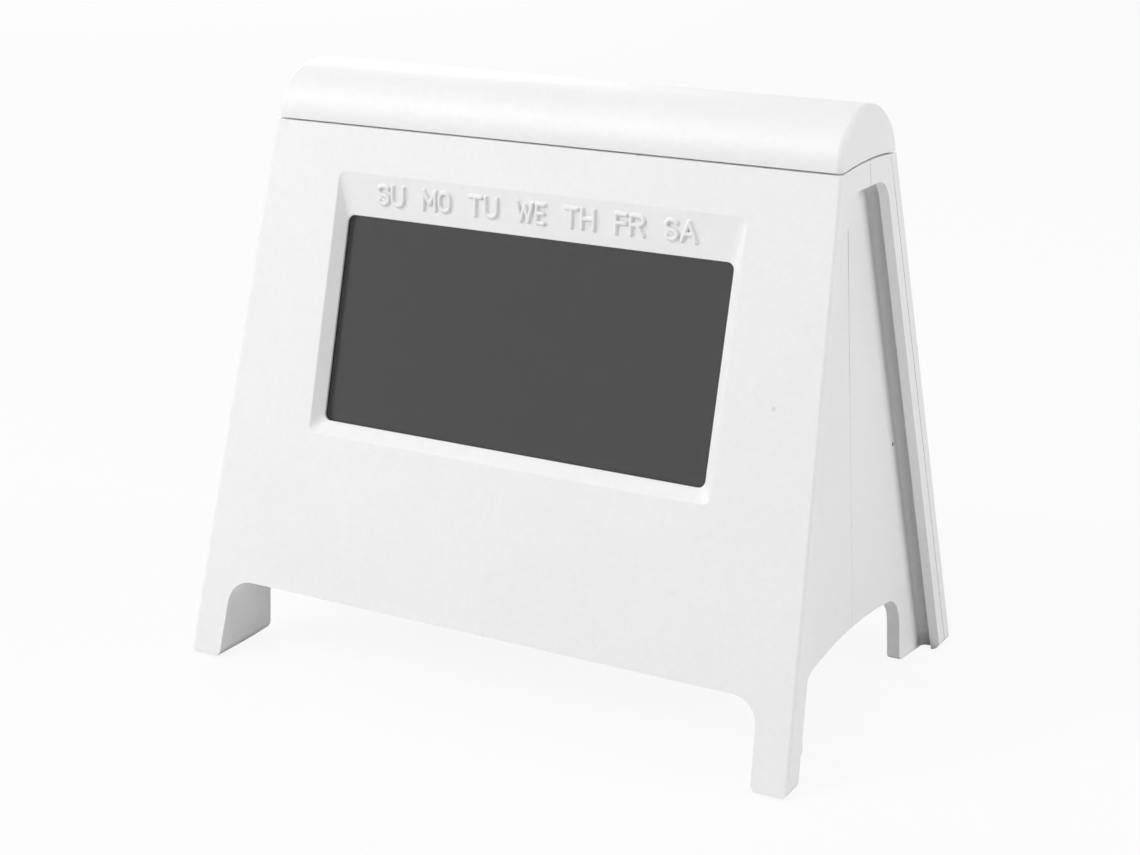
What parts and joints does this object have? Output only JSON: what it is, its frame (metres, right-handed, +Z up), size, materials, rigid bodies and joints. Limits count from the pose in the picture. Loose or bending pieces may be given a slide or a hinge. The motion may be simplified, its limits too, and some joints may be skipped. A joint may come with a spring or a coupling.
{
  "type": "digital desk clock",
  "caption": "Free-standing A-frame desk clock with a display in a bevelled recess, a press bar along the top, rear push buttons, an alarm slide and a sliding battery door.",
  "frame": {"origin": "on the floor under the middle of the clock", "axes": "+X across the width, to the right when facing the display; +Y from the front to the back; +Z up"},
  "size_m": [0.1098, 0.0682, 0.0965],
  "materials": {
    "casing": "fine satin moulded white",
    "press_bar": "fine satin moulded white",
    "window": "clear",
    "display": "blank dark grey",
    "holder": "moulded",
    "zebra": "matte",
    "circuit_board": "green solder mask",
    "resin": "black resin",
    "can": "plain can",
    "switch_body": "moulded black",
    "sounder": "moulded black",
    "ribbon": "flat grey",
    "button": "moulded light grey",
    "knob": "moulded light grey",
    "cell": "plain sleeve",
    "spring_wire": "bright wire",
    "contact": "bright sheet",
    "red_lead": "red sleeve",
    "black_lead": "black sleeve",
    "screw": "bright"
  },
  "bodies": {
    "casing": {"front_shell": "casing", "rear_shell": "casing", "back_cover": "casing", "display_lens": "window", "lcd_panel": "display", "lcd_holder": "holder", "battery_tray": "holder", "zebra_strip": "zebra", "main_board": "circuit_board", "snooze_board": "circuit_board", "key_board": "circuit_board", "clock_chip": "resin", "quartz_crystal": "can", "snooze_switch": "switch_body", "key_switches": "switch_body", "alarm_switch": "switch_body", "buzzer": "sounder", "snooze_cable": "ribbon", "key_cable": "ribbon", "upper_cell": "cell", "lower_cell": "cell", "bar_springs": "spring_wire", "battery_springs": "spring_wire", "battery_plates": "contact", "plus_lead": "red_lead", "minus_lead": "black_lead", "board_screws": "screw", "snooze_board_screws": "screw", "key_board_screws": "screw", "shell_screws": "screw", "cover_screws": "screw"},
    "press_bar": {"snooze_bar": "press_bar", "bar_screws": "screw"},
    "mode_button": {"mode_button": "button"},
    "set_button": {"set_button": "button"},
    "up_button": {"up_button": "button"},
    "down_button": {"down_button": "button"},
    "alarm_knob": {"alarm_knob": "knob"},
    "battery_door": {"battery_door": "casing"}
  },
  "joints": [
    {"name": "bar_press", "type": "slide", "parent": "casing", "child": "press_bar", "axis": [0, 0, -1], "range_m": [0, 0.0002], "stiffness_N_per_m": 2000, "springref_m": -0.0005, "deforming": ["bar_springs"]},
    {"name": "mode_press", "type": "slide", "parent": "casing", "child": "mode_button", "axis": [0, -0.9659, -0.2588], "range_m": [0, 0.0008], "stiffness_N_per_m": 1500, "springref_m": -0.0003},
    {"name": "set_press", "type": "slide", "parent": "casing", "child": "set_button", "axis": [0, -0.9659, -0.2588], "range_m": [0, 0.0008], "stiffness_N_per_m": 1500, "springref_m": -0.0003},
    {"name": "up_press", "type": "slide", "parent": "casing", "child": "up_button", "axis": [0, -0.9659, -0.2588], "range_m": [0, 0.0008], "stiffness_N_per_m": 1500, "springref_m": -0.0003},
    {"name": "down_press", "type": "slide", "parent": "casing", "child": "down_button", "axis": [0, -0.9659, -0.2588], "range_m": [0, 0.0008], "stiffness_N_per_m": 1500, "springref_m": -0.0003},
    {"name": "alarm_slide", "type": "slide", "parent": "casing", "child": "alarm_knob", "axis": [-1, 0, 0], "range_m": [0, 0.003]},
    {"name": "door_slide", "type": "slide", "parent": "casing", "child": "battery_door", "axis": [0, 0.2588, -0.9659], "range_m": [0, 0.012]}
  ]
}
